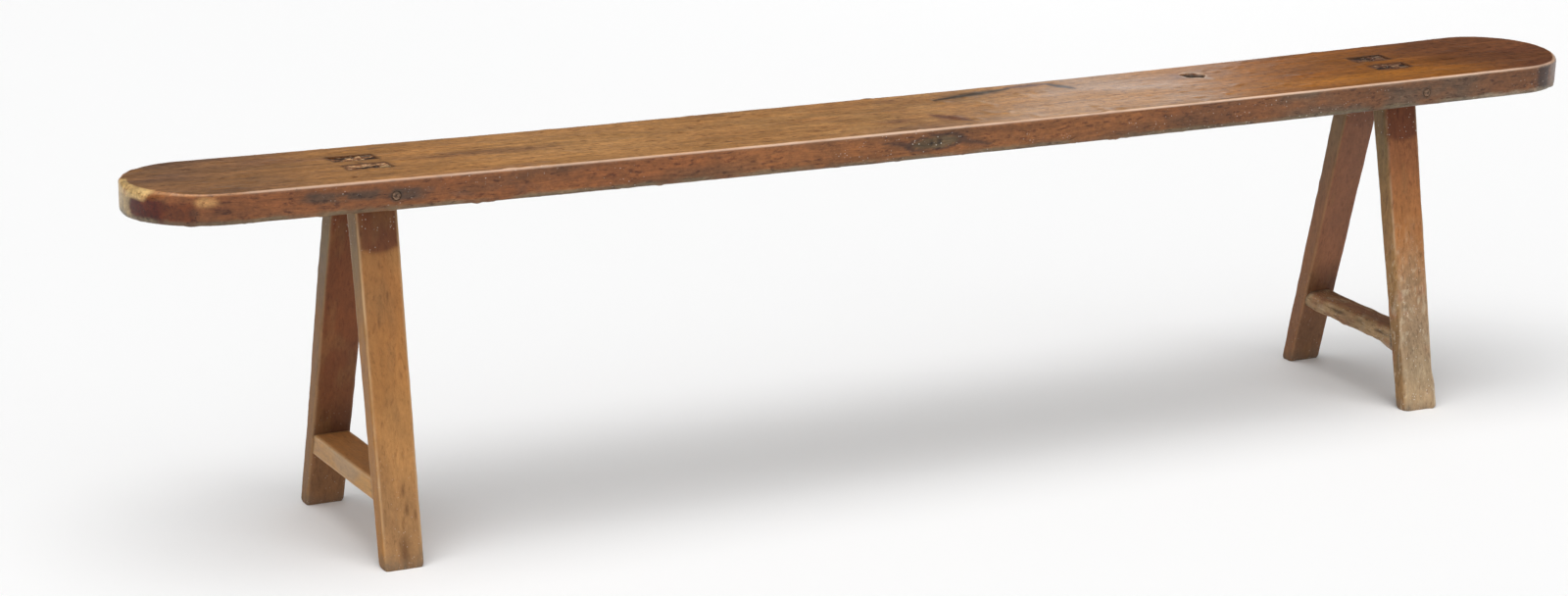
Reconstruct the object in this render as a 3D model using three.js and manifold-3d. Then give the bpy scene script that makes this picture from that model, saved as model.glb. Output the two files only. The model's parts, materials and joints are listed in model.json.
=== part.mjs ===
// A long farmhouse bench built like a sawhorse: one thick plank on two splayed trestles.
// Each trestle is two square legs, tenoned right through the plank, and one low stretcher.
//
// Frame: millimetres, +Z up, the plank lies along X. The near edge of the plank faces -Y.
// The origin is on the floor, under the middle of the box that holds the bench.

import * as THREE from "three";
import { mergeVertices } from "three/addons/utils/BufferGeometryUtils.js";
import Module from "manifold-3d";

const wasm = await Module();
wasm.setup();

// ---- Driving dimensions -------------------------------------------------------------------

const gap = 0.3; // clearance between two pieces that touch

const plank = {
  length: 2031,
  width: 195,
  thickness: 37.5,
  endHeight: 460, // top of the plank at its two ends
  sag: 7, // how far the middle has sunk below the ends
  topRound: 7, // radius of the worn upper edge
  bottomRound: 5,
  stations: 25, // odd, so that the middle of the seat is one level facet
};

const leg = {
  topWidth: 52, // along X, under the plank
  footWidth: 48.5,
  topDepth: 31, // along Y
  footDepth: 23,
  chamfer: 1.5,
  topSpread: 36.7, // from the trestle's middle to the leg's, under the plank
  footSpread: 136.3,
  spare: 12, // each foot is made this much too long, then cut off level with the floor
};

const tenon = {
  thickness: 24, // the inner face runs on from the leg's, and the shoulder is on the outside
  recess: 0.7, // the end grain lies just below the seat
};

const wedge = {
  width: 13, // along X
  topThickness: 8,
  tipThickness: 3,
  depth: 26,
};

const peg = {
  radius: 5.5,
  depthBelowTop: 20,
  proud: 0.6, // how far its end stands out of the plank's edge
  past: 5, // how far it goes into the plank beyond the tenon
  sides: 12,
};

const stretcherTenon = {
  width: 30, // along X
  height: 13,
  length: 15, // how far it goes into the leg
};

const trestleOffset = 6.2; // both trestles sit a little to the far side of the plank's centre line

const trestles = [
  {
    side: "left",
    x: -726.6,
    windDegrees: -0.77, // tilt of the plank, and of the trestle with it, about X
    footRake: -10, // how far the feet stand out along X
    pegX: 6.5,
    stretcher: { width: 46, height: 26, middle: 86.5, upperRound: 2.5, lowerRound: 2 },
  },
  {
    side: "right",
    x: 744.1,
    windDegrees: 1.51,
    footRake: 1,
    pegX: 4,
    stretcher: { width: 46, height: 25, middle: 95, upperRound: 8, lowerRound: 6 },
  },
];

const [leftTrestle, rightTrestle] = trestles;

// ---- Materials ----------------------------------------------------------------------------

const wood = (color, roughness) =>
  new THREE.MeshStandardMaterial({ color, roughness, metalness: 0 });

const materials = {
  plank: () => wood("#8a5a34", 0.42),
  leg: () => wood("#80583a", 0.6),
  stretcher: () => wood("#8b6a4b", 0.68),
  wedge: () => wood("#a5865f", 0.7),
  peg: () => wood("#6b5440", 0.65),
};

// ---- Solids -------------------------------------------------------------------------------

// A closed three.js geometry as a solid that can be cut and joined.
function solidOf(geometry) {
  const bare = geometry.clone();
  bare.deleteAttribute("normal");
  bare.deleteAttribute("uv");
  const merged = mergeVertices(bare, 1e-4);
  return new wasm.Manifold(
    new wasm.Mesh({
      numProp: 3,
      vertProperties: new Float32Array(merged.attributes.position.array),
      triVerts: new Uint32Array(merged.index.array),
    }),
  );
}

// A solid as a three.js geometry again.
function geometryOf(solid) {
  const { vertProperties, triVerts } = solid.getMesh();
  const geometry = new THREE.BufferGeometry();
  geometry.setAttribute("position", new THREE.BufferAttribute(vertProperties, 3));
  geometry.setIndex(new THREE.BufferAttribute(triVerts, 1));
  geometry.computeVertexNormals();
  return geometry;
}

const cutAway = (solid, cutters) => cutters.reduce((left, cutter) => left.subtract(cutter), solid);

function meshOf(name, solid, material) {
  const mesh = new THREE.Mesh(geometryOf(solid), material);
  mesh.name = name;
  return mesh;
}

// Moves every vertex of a geometry by a function of its place.
function reshape(geometry, move) {
  const position = geometry.attributes.position;
  const point = new THREE.Vector3();
  for (let i = 0; i < position.count; i++) {
    point.fromBufferAttribute(position, i);
    move(point);
    position.setXYZ(i, point.x, point.y, point.z);
  }
  return geometry;
}

// ---- Outlines -----------------------------------------------------------------------------

// A rectangle about the origin with its four corners cut off at 45 degrees.
function chamferedRectangle(width, height, chamfer) {
  const [x, y] = [width / 2, height / 2];
  return new THREE.Shape(
    [
      [x - chamfer, -y],
      [x, -y + chamfer],
      [x, y - chamfer],
      [x - chamfer, y],
      [-x + chamfer, y],
      [-x, y - chamfer],
      [-x, -y + chamfer],
      [-x + chamfer, -y],
    ].map(([px, py]) => new THREE.Vector2(px, py)),
  );
}

// A rectangle about the origin with round corners, the upper and the lower of their own radius.
function roundedRectangle(width, height, topRadius, bottomRadius) {
  const [x, y] = [width / 2, height / 2];
  const quarter = Math.PI / 2;
  const shape = new THREE.Shape();
  shape.absarc(x - bottomRadius, -y + bottomRadius, bottomRadius, -quarter, 0);
  shape.absarc(x - topRadius, y - topRadius, topRadius, 0, quarter);
  shape.absarc(-x + topRadius, y - topRadius, topRadius, quarter, 2 * quarter);
  shape.absarc(-x + bottomRadius, -y + bottomRadius, bottomRadius, 2 * quarter, 3 * quarter);
  return shape;
}

// ---- The plank's bend and wind ------------------------------------------------------------

const halfLength = plank.length / 2;

// Height of the top of the plank on its centre line.
const topHeight = (x) => plank.endHeight - plank.sag * (1 - (x / halfLength) ** 2);

// Tilt about X, in radians: the plank is level in the middle and winds towards its ends.
function windAt(x) {
  const trestle = x < 0 ? leftTrestle : rightTrestle;
  return THREE.MathUtils.degToRad((trestle.windDegrees * x) / trestle.x);
}

// Takes a point of a straight plank, whose top lies on Z = 0, to its place in the bent one.
function bend(point) {
  const { x, y, z } = point;
  const angle = windAt(x);
  point.y = y * Math.cos(angle) - z * Math.sin(angle);
  point.z = topHeight(x) + y * Math.sin(angle) + z * Math.cos(angle);
}

// The plank before its mortises: a straight bar and a round-ended outline, both bent, in common.
function plankBlank() {
  const section = roundedRectangle(
    plank.width,
    plank.thickness,
    plank.topRound,
    plank.bottomRound,
  );
  const bar = new THREE.ExtrudeGeometry(section, {
    depth: plank.length,
    steps: plank.stations,
    curveSegments: 3,
    bevelEnabled: false,
  });
  bar.translate(0, -plank.thickness / 2, -halfLength);
  bar.applyMatrix4(new THREE.Matrix4().makeBasis(
    new THREE.Vector3(0, 1, 0),
    new THREE.Vector3(0, 0, 1),
    new THREE.Vector3(1, 0, 0),
  ));

  const clear = 0.4; // the outline's long sides pass just outside the bar
  const endRadius = plank.width / 2 + clear;
  const endCentre = halfLength - endRadius;
  const outline = new THREE.Shape();
  outline.absarc(endCentre, 0, endRadius - plank.topRound, -Math.PI / 2, Math.PI / 2);
  outline.absarc(-endCentre, 0, endRadius - plank.topRound, Math.PI / 2, 1.5 * Math.PI);
  const reach = 2.5 * plank.thickness; // the outline's lower bevel lies well below the plank
  const ends = new THREE.ExtrudeGeometry(outline, {
    depth: reach - 2 * plank.topRound,
    curveSegments: 10,
    bevelSize: plank.topRound,
    bevelThickness: plank.topRound,
    bevelSegments: 3,
  });
  ends.translate(0, 0, plank.topRound - reach);
  return solidOf(reshape(bar, bend)).intersect(solidOf(reshape(ends, bend)));
}

// ---- Pieces of one trestle, in its own frame ------------------------------------------------
// The frame's origin is on top of the plank's centre line, and the frame tilts with the plank.
// hand is -1 for the near leg and +1 for the far one. grow makes a piece larger all round, for
// cutting the space that it goes into.

const underside = -plank.thickness;
const floorLevel = -plank.endHeight;
const legHeight = underside - floorLevel;
const legSlope = (leg.footSpread - leg.topSpread) / legHeight;

// Middle and depth of a leg at the level z.
function legAt(trestle, hand, z) {
  const down = (underside - z) / legHeight;
  return {
    x: trestle.footRake * down,
    y: trestleOffset + hand * (leg.topSpread + legSlope * (underside - z)),
    width: THREE.MathUtils.lerp(leg.topWidth, leg.footWidth, down),
    depth: THREE.MathUtils.lerp(leg.topDepth, leg.footDepth, down),
  };
}

// The leg below the plank, leaning and tapering, too long at the foot.
function legBar(trestle, hand, grow = 0) {
  const top = underside - 2 * gap + grow;
  const bottom = floorLevel - leg.spare;
  const outline = chamferedRectangle(
    leg.topWidth + 2 * grow,
    leg.topDepth + 2 * grow,
    leg.chamfer,
  );
  const bar = new THREE.ExtrudeGeometry(outline, { depth: top - bottom, bevelEnabled: false });
  bar.translate(0, 0, bottom);
  return reshape(bar, (point) => {
    const middle = legAt(trestle, hand, point.z);
    point.x = middle.x + (point.x * middle.width) / leg.topWidth;
    point.y = middle.y + (point.y * middle.depth) / leg.topDepth;
  });
}

// Middle of a tenon at the level z: its inner face runs on from the leg's.
function tenonAt(trestle, hand, z) {
  const { x, y } = legAt(trestle, hand, z);
  return { x, y: y - (hand * (leg.topDepth - tenon.thickness)) / 2 };
}

// The tenon between two levels.
function tenonBar(trestle, hand, bottom, top, grow = 0) {
  const bar = new THREE.BoxGeometry(
    leg.topWidth + 2 * grow,
    tenon.thickness + 2 * grow,
    top - bottom,
  );
  bar.translate(0, 0, (top + bottom) / 2);
  return reshape(bar, (point) => {
    const middle = tenonAt(trestle, hand, point.z);
    point.x += middle.x;
    point.y += middle.y;
  });
}

// The wedge in the tenon's outer face, at its right-hand end. It is thickest at the top.
function wedgeBar(trestle, hand, grow = 0) {
  const top = -tenon.recess + grow;
  const bottom = -tenon.recess - wedge.depth - grow;
  const bar = new THREE.BoxGeometry(wedge.width + 2 * grow, 1, top - bottom);
  bar.translate((leg.topWidth - wedge.width) / 2, 0.5, (top + bottom) / 2);
  return reshape(bar, (point) => {
    const middle = tenonAt(trestle, hand, point.z);
    const share = (-tenon.recess - point.z) / wedge.depth;
    const thickness = THREE.MathUtils.lerp(wedge.topThickness, wedge.tipThickness, share);
    const inward = hand < 0 ? point.y * (thickness + 2 * grow) : (1 - point.y) * (thickness + 2 * grow);
    point.x += middle.x;
    point.y = middle.y + hand * (tenon.thickness / 2 + grow - inward);
  });
}

// The round peg driven in from the plank's edge, across the mortise and the tenon in it.
function pegBar(trestle, hand, grow = 0) {
  const innerFace = tenonAt(trestle, hand, -peg.depthBelowTop).y - (hand * tenon.thickness) / 2;
  const tip = innerFace - hand * (peg.past + grow);
  const end = hand * (plank.width / 2 + peg.proud + grow);
  const radius = peg.radius + grow;
  const bar = new THREE.CylinderGeometry(radius, radius, Math.abs(end - tip), peg.sides);
  return bar.translate(trestle.pegX, (end + tip) / 2, -peg.depthBelowTop);
}

// The stretcher's level in the trestle's frame.
const stretcherLevel = (trestle) => trestle.stretcher.middle - topHeight(trestle.x);

// The tenons of a stretcher as one bar, from inside one leg to inside the other.
function stretcherTenonBar(trestle, grow = 0) {
  const level = stretcherLevel(trestle);
  const [near, far] = [-1, 1].map((hand) => {
    const { y, depth } = legAt(trestle, hand, level);
    return y - hand * (depth / 2 - stretcherTenon.length - grow);
  });
  const bar = new THREE.BoxGeometry(
    stretcherTenon.width + 2 * grow,
    far - near,
    stretcherTenon.height + 2 * grow,
  );
  return bar.translate(legAt(trestle, 1, level).x, (far + near) / 2, level);
}

// The stretcher's body, from the middle of one leg to the middle of the other.
function stretcherBar(trestle) {
  const { width, height, upperRound, lowerRound } = trestle.stretcher;
  const level = stretcherLevel(trestle);
  const [near, far] = [-1, 1].map((hand) => legAt(trestle, hand, level));
  const section = roundedRectangle(width, height, upperRound, lowerRound);
  const bar = new THREE.ExtrudeGeometry(section, {
    depth: far.y - near.y,
    curveSegments: 3,
    bevelEnabled: false,
  });
  bar.rotateX(Math.PI / 2);
  return bar.translate(far.x, far.y, level);
}

// ---- Assembly -----------------------------------------------------------------------------

const bench = new THREE.Group();
const plankCutters = [];

const hands = [
  { name: "near", hand: -1 },
  { name: "far", hand: 1 },
];

function addTrestle(trestle) {
  const group = new THREE.Group();
  group.position.set(trestle.x, 0, topHeight(trestle.x));
  group.rotation.x = windAt(trestle.x);
  group.updateMatrix();
  bench.add(group);

  const floor = new THREE.BoxGeometry(leg.topWidth * 3, leg.footSpread * 4, leg.spare * 4);
  floor.translate(trestle.x, 0, -leg.spare * 2);
  floor.applyMatrix4(group.matrix.clone().invert());

  for (const { name, hand } of hands) {
    const label = `${trestle.side}_${name}`;
    const joint = underside - 4 * gap; // the tenon is joined to the leg just below its shoulder
    const legSolid = solidOf(legBar(trestle, hand))
      .subtract(solidOf(floor))
      .add(solidOf(tenonBar(trestle, hand, joint, -tenon.recess)));
    const legCutters = [
      wedgeBar(trestle, hand, gap),
      pegBar(trestle, hand, gap),
      stretcherTenonBar(trestle, gap),
    ];
    group.add(
      meshOf(`${label}_leg`, cutAway(legSolid, legCutters.map(solidOf)), materials.leg()),
      meshOf(`${label}_wedge`, solidOf(wedgeBar(trestle, hand)), materials.wedge()),
      meshOf(`${label}_peg`, solidOf(pegBar(trestle, hand)), materials.peg()),
    );

    const mortise = tenonBar(trestle, hand, underside - plank.sag, plank.sag, gap);
    plankCutters.push(
      mortise.applyMatrix4(group.matrix),
      pegBar(trestle, hand, gap).applyMatrix4(group.matrix),
    );
  }

  const legSpaces = hands.map(({ hand }) => solidOf(legBar(trestle, hand, gap)));
  const stretcher = cutAway(solidOf(stretcherBar(trestle)), legSpaces)
    .add(solidOf(stretcherTenonBar(trestle)));
  group.add(meshOf(`${trestle.side}_stretcher`, stretcher, materials.stretcher()));
}

trestles.forEach(addTrestle);
bench.add(
  meshOf("seat_plank", cutAway(plankBlank(), plankCutters.map(solidOf)), materials.plank()),
);

const middle = new THREE.Box3().setFromObject(bench, true).getCenter(new THREE.Vector3());
bench.position.set(-middle.x, -middle.y, 0);

export default bench;
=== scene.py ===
"""A long farmhouse bench built like a sawhorse: old brown wood, worn and hand-polished."""

import json
import math

import bpy
import numpy as np
from mathutils import Matrix, Vector


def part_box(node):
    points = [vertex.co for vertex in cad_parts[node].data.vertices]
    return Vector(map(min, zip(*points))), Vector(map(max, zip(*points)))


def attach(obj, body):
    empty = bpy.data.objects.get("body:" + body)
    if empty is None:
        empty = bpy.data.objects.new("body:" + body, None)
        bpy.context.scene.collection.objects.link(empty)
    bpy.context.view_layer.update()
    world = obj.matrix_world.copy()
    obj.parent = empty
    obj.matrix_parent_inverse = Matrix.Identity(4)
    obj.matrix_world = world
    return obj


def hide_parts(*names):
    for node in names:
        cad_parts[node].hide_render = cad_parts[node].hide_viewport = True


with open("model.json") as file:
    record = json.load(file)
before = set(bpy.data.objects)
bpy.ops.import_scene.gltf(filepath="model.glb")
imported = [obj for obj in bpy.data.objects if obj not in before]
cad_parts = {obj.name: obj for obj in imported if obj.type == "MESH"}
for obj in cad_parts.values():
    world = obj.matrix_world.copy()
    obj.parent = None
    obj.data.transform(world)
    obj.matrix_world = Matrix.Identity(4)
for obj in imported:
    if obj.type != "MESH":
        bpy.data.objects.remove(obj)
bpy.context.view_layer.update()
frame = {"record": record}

MM = 0.001  # metres in a millimetre


# ---- The bench's driving sizes ----------------------------------------------------------------
# Lengths are in millimetres, and times MM they are metres. The noises' cells, the lights and the
# camera's place go by the metre.

plank_low, plank_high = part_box("seat_plank")
mounts = {m["name"]: Vector(m["pos_m"]) for m in frame["record"]["mounts"]}
PLANK_Y = mounts["seat_middle"].y / MM
HALF_LENGTH = (plank_high.x - plank_low.x) / 2 / MM
HALF_WIDTH = 97.5
THICKNESS = 37.5
END_HEIGHT = 460
SAG = 7

LEG_TOP = (52, 31)  # along X and along Y
LEG_FOOT = (48.5, 23)
TOP_SPREAD = 36.7
FOOT_SPREAD = 136.3
TENON_THICKNESS = 24
TENON_RECESS = 0.7
WEDGE = {"width": 13, "top": 8, "tip": 3, "depth": 26}
PEG = {"radius": 5.5, "down": 20, "proud": 0.6, "past": 5}
STRETCHER_TENON = {"width": 30, "height": 13, "length": 15}
TRESTLE_OFFSET = 6.2
GAP = 0.3

TRESTLES = {
    "left": {
        "x": -726.6,
        "wind": math.radians(-0.77),
        "rake": -10,
        "peg_x": 6.5,
        "stretcher": {"width": 46, "height": 26, "middle": 86.5, "upper": 2.5, "lower": 2},
    },
    "right": {
        "x": 744.1,
        "wind": math.radians(1.51),
        "rake": 1,
        "peg_x": 4,
        "stretcher": {"width": 46, "height": 25, "middle": 95, "upper": 10, "lower": 9},
    },
}
HANDS = {"near": -1, "far": 1}
UNDERSIDE = -THICKNESS
FLOOR_LEVEL = -END_HEIGHT
LEG_HEIGHT = UNDERSIDE - FLOOR_LEVEL
LEG_SLOPE = (FOOT_SPREAD - TOP_SPREAD) / LEG_HEIGHT


# ---- Noise ------------------------------------------------------------------------------------


def lattice(cells, seed):
    """A fixed pseudo-random number from -1 to 1 for each whole-numbered cell."""
    mask = np.uint64(0xFFFFFFFF)
    c = cells.astype(np.int64).astype(np.uint64)
    h = c[:, 0] * np.uint64(73856093) ^ c[:, 1] * np.uint64(19349663)
    h = h ^ c[:, 2] * np.uint64(83492791) ^ np.uint64(seed * 2654435761 % 2**32)
    for _ in range(2):
        h = h & mask
        h = (h ^ (h >> np.uint64(16))) * np.uint64(73244475)
    h = (h ^ (h >> np.uint64(16))) & mask
    return h.astype(np.float64) / 2**31 - 1


OCTAVE_SHIFT = 37.3  # moves each octave of the noise off the one before


def noise(points, per_metre, seed, octaves=3):
    """Smooth noise of about -1 to 1, with per_metre cells in a metre along each axis."""
    total, height = np.zeros(len(points)), 0.0
    for octave in range(octaves):
        p = points * MM * np.asarray(per_metre) * 2**octave + OCTAVE_SHIFT * octave
        base = np.floor(p)
        f = p - base
        f = f * f * (3 - 2 * f)
        value = np.zeros(len(points))
        for corner in np.ndindex(2, 2, 2):
            weight = np.prod(np.where(corner, f, 1 - f), axis=1)
            value += weight * lattice(base + corner, seed + octave)
        total += value * 0.5**octave
        height += 0.5**octave
    return total / height


def lone(value, seed, per_unit):
    """Noise for a single number."""
    return float(noise(np.array([[value / MM, 0.0, 0.0]]), (per_unit, 1, 1), seed, 2)[0])


def step(low, high, value):
    """0 below low, 1 above high, smooth between; low may be the larger."""
    t = np.clip((value - low) / (high - low), 0, 1)
    return t * t * (3 - 2 * t)


def blob(x, y, centre, reach, turn=0.0):
    """1 at the centre of an ellipse, 0 outside it."""
    c, s = math.cos(turn), math.sin(turn)
    dx, dy = x - centre[0], y - centre[1]
    along, across = c * dx + s * dy, -s * dx + c * dy
    return step(1.0, 0.0, np.sqrt((along / reach[0]) ** 2 + (across / reach[1]) ** 2))


def stroke(x, y, start, end, width):
    """1 on a tapering stroke from start to end, 0 off it."""
    (x0, y0), (x1, y1) = start, end
    dx, dy = x1 - x0, y1 - y0
    share = ((x - x0) * dx + (y - y0) * dy) / (dx * dx + dy * dy)
    along = np.clip(share, 0, 1)
    distance = np.hypot(x - x0 - along * dx, y - y0 - along * dy)
    taper = 0.25 + 0.75 * np.sin(np.pi * np.clip(along, 0.02, 0.98))
    return step(width, 0.0, distance / taper)


# ---- Frames of the plank and of the trestles --------------------------------------------------


def top_height(x):
    return END_HEIGHT - SAG * (1 - (x / HALF_LENGTH) ** 2)


def wind_at(x):
    left, right = TRESTLES["left"], TRESTLES["right"]
    return np.where(x < 0, left["wind"] * x / left["x"], right["wind"] * x / right["x"])


def bend(p):
    """Points of a straight plank whose top lies on Z = 0, taken to their place in the bent one."""
    a = wind_at(p[:, 0])
    y = p[:, 1] * np.cos(a) - p[:, 2] * np.sin(a)
    z = top_height(p[:, 0]) + p[:, 1] * np.sin(a) + p[:, 2] * np.cos(a)
    return np.stack([p[:, 0], y + PLANK_Y, z], axis=1)


def unbend(p):
    a = wind_at(p[:, 0])
    y, z = p[:, 1] - PLANK_Y, p[:, 2] - top_height(p[:, 0])
    return np.stack([p[:, 0], y * np.cos(a) + z * np.sin(a), z * np.cos(a) - y * np.sin(a)], axis=1)


def trestle_matrix(trestle):
    """Where a trestle's frame lies, in metres: its origin is on the plank's top."""
    place = (trestle["x"], PLANK_Y, top_height(trestle["x"]))
    return Matrix.Translation([v * MM for v in place]) @ Matrix.Rotation(trestle["wind"], 4, "X")


def moved(points, matrix):
    m = np.array(matrix)
    return points @ m[:3, :3].T + m[:3, 3] / MM


def to_trestle(points, trestle):
    return moved(points, trestle_matrix(trestle).inverted())


def placed(points, trestle):
    return moved(points, trestle_matrix(trestle))


def level_ring(section, x, y, z):
    """A section moved to x and y and laid flat at the level z."""
    return np.column_stack([section[:, 0] + x, section[:, 1] + y, np.full(len(section), z)])


def leg_at(trestle, hand, z):
    """Middle, width and depth of a leg at the level z of its trestle."""
    down = (UNDERSIDE - z) / LEG_HEIGHT
    x = trestle["rake"] * down
    y = TRESTLE_OFFSET + hand * (TOP_SPREAD + LEG_SLOPE * (UNDERSIDE - z))
    width = LEG_TOP[0] + (LEG_FOOT[0] - LEG_TOP[0]) * down
    depth = LEG_TOP[1] + (LEG_FOOT[1] - LEG_TOP[1]) * down
    return x, y, width, depth


def tenon_at(trestle, hand, z):
    x, y, _, _ = leg_at(trestle, hand, z)
    return x, y - hand * (LEG_TOP[1] - TENON_THICKNESS) / 2


# ---- Meshes -----------------------------------------------------------------------------------


def new_piece(name, points, faces):
    mesh = bpy.data.meshes.new(name)
    mesh.from_pydata((points * MM).tolist(), [], faces)
    mesh.update()
    piece = bpy.data.objects.new(name, mesh)
    bpy.context.scene.collection.objects.link(piece)
    return piece


def points_of(piece):
    flat = np.empty(len(piece.data.vertices) * 3, np.float32)
    piece.data.vertices.foreach_get("co", flat)
    return flat.reshape(-1, 3).astype(np.float64) / MM


def set_points(piece, points):
    piece.data.vertices.foreach_set("co", (points * MM).astype(np.float32).ravel())
    piece.data.update()


def normals_of(piece):
    flat = np.empty(len(piece.data.vertices) * 3, np.float32)
    piece.data.vertex_normals.foreach_get("vector", flat)
    return flat.reshape(-1, 3).astype(np.float64)


def quads_between(rows, columns):
    """Faces of a tube of rows rings, each of columns points."""
    faces = []
    for i in range(rows - 1):
        for j in range(columns):
            k = (j + 1) % columns
            faces.append((i * columns + j, i * columns + k, (i + 1) * columns + k, (i + 1) * columns + j))
    return faces


def loft(name, rings, cap_rows=6):
    """A closed tube through rings of equal length, its two ends closed by smaller and smaller rings."""
    columns = len(rings[0])
    shrink = [(1 - (k + 1) / (cap_rows + 1)) for k in range(cap_rows)]
    first, last = rings[0], rings[-1]
    low = [first.mean(0) + (first - first.mean(0)) * s for s in reversed(shrink)]
    high = [last.mean(0) + (last - last.mean(0)) * s for s in shrink]
    rows = low + list(rings) + high
    points = np.concatenate(rows + [low[0].mean(0, keepdims=True), high[-1].mean(0, keepdims=True)])
    faces = quads_between(len(rows), columns)
    bottom, top = len(points) - 2, len(points) - 1
    end = (len(rows) - 1) * columns
    for j in range(columns):
        k = (j + 1) % columns
        faces.append((k, j, bottom))
        faces.append((end + j, end + k, top))
    return new_piece(name, points, faces)


def rounded_section(width, depth, radius, spacing=2.6):
    return cornered_section(width, depth, [radius] * 4, spacing)


def cornered_section(width, depth, radii, spacing=2.6):
    """A rectangle about the origin, anticlockwise, each corner of its own radius.

    The corners come in the order +X-Y, +X+Y, -X+Y, -X-Y.
    """
    across = max(3, round(LEG_TOP[0] / spacing))
    deep = max(3, round(LEG_TOP[1] / spacing))
    signs = ((1, -1), (1, 1), (-1, 1), (-1, -1))
    arcs = []
    for k, ((sx, sy), radius) in enumerate(zip(signs, radii)):
        centre = np.array([sx * (width / 2 - radius), sy * (depth / 2 - radius)])
        turn = np.radians(90 * (k - 1) + np.linspace(0, 90, 5))
        arcs.append(centre + radius * np.column_stack([np.cos(turn), np.sin(turn)]))
    points = []
    for k, count in enumerate((deep, across, deep, across)):
        begin, finish = arcs[k][-1], arcs[(k + 1) % 4][0]
        share = (np.arange(1, count) / count)[:, None]
        points += [arcs[k], begin + (finish - begin) * share]
    return np.concatenate(points)


def carve(piece, depth):
    """Moves every vertex inwards along its normal."""
    set_points(piece, points_of(piece) - normals_of(piece) * np.asarray(depth)[:, None])


def combine(piece, operation, tools):
    """Takes each tool out of the piece or adds it, and deletes the tool."""
    for shape in tools:
        modifier = piece.modifiers.new("combine", "BOOLEAN")
        modifier.operation, modifier.solver, modifier.object = operation, "EXACT", shape
        depsgraph = bpy.context.evaluated_depsgraph_get()
        mesh = bpy.data.meshes.new_from_object(piece.evaluated_get(depsgraph))
        piece.modifiers.clear()
        old, piece.data = piece.data, mesh
        mesh.name = piece.name
        bpy.data.meshes.remove(old)
        bpy.data.objects.remove(shape)


def tool(rings):
    """A closed shape to cut with or to add."""
    return loft("tool", rings, cap_rows=1)


def cut(piece, tools):
    """Cuts closed shapes out of the piece, all at once.

    Where two of them cross, as the mortises and the peg holes do, the walls of both stay inside.
    """
    points, faces, start = [], [], 0
    for shape in tools:
        p = points_of(shape)
        faces += [tuple(start + i for i in f.vertices) for f in shape.data.polygons]
        points.append(p)
        start += len(p)
        bpy.data.objects.remove(shape)
    combine(piece, "DIFFERENCE", [new_piece("tools", np.concatenate(points), faces)])


def store(piece, name, values):
    """A value for each vertex: a number, a grain coordinate or a colour, by its length."""
    values = np.asarray(values, np.float32)
    kind, slot = {1: ("FLOAT", "value"), 3: ("FLOAT_VECTOR", "vector"), 4: ("FLOAT_COLOR", "color")}[
        1 if values.ndim == 1 else values.shape[1]
    ]
    layer = piece.data.attributes.new(name, kind, "POINT")
    layer.data.foreach_set(slot, values.ravel())


def linear(seen):
    """A colour as it is seen, 0 to 255, as linear light."""
    c = np.array(seen) / 255
    return np.where(c <= 0.04045, c / 12.92, ((c + 0.055) / 1.055) ** 2.4)


def painted(base, *layers, where=1.0):
    """base, a seen colour or what painted gave, with each (seen colour, mask) laid over it in turn."""
    colour = linear(base) if isinstance(base, tuple) else base
    for tint, mask in layers:
        colour = colour + (linear(tint) - colour) * np.clip(mask * where, 0, 1)[:, None]
    return colour


SHARP_ANGLE = math.radians(42)


def finish_piece(piece, wood_name, node, grain, colour, wear_and_highlight, grime_and_shade, end, specks):
    """Stores what the wood shader reads, gives the piece its wood, hides the part it takes the place of and
    hangs it on the root body.
    """
    store(piece, "grain", grain * MM)
    store(piece, "paint", np.column_stack([colour, np.ones(len(colour))]))
    store(piece, "wear_and_highlight", np.clip(wear_and_highlight, 0, 1))
    store(piece, "grime_and_shade", np.clip(grime_and_shade, 0, 1))
    store(piece, "end_grain", np.clip(end, 0, 1))
    store(piece, "specks", np.clip(specks, 0, 1))
    for polygon in piece.data.polygons:
        polygon.use_smooth = True
    piece.data.set_sharp_from_angle(angle=SHARP_ANGLE)
    piece.data.materials.clear()
    piece.data.materials.append(woods[wood_name])
    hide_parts(node)
    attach(piece, "root")


# ---- Wood -------------------------------------------------------------------------------------


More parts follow.
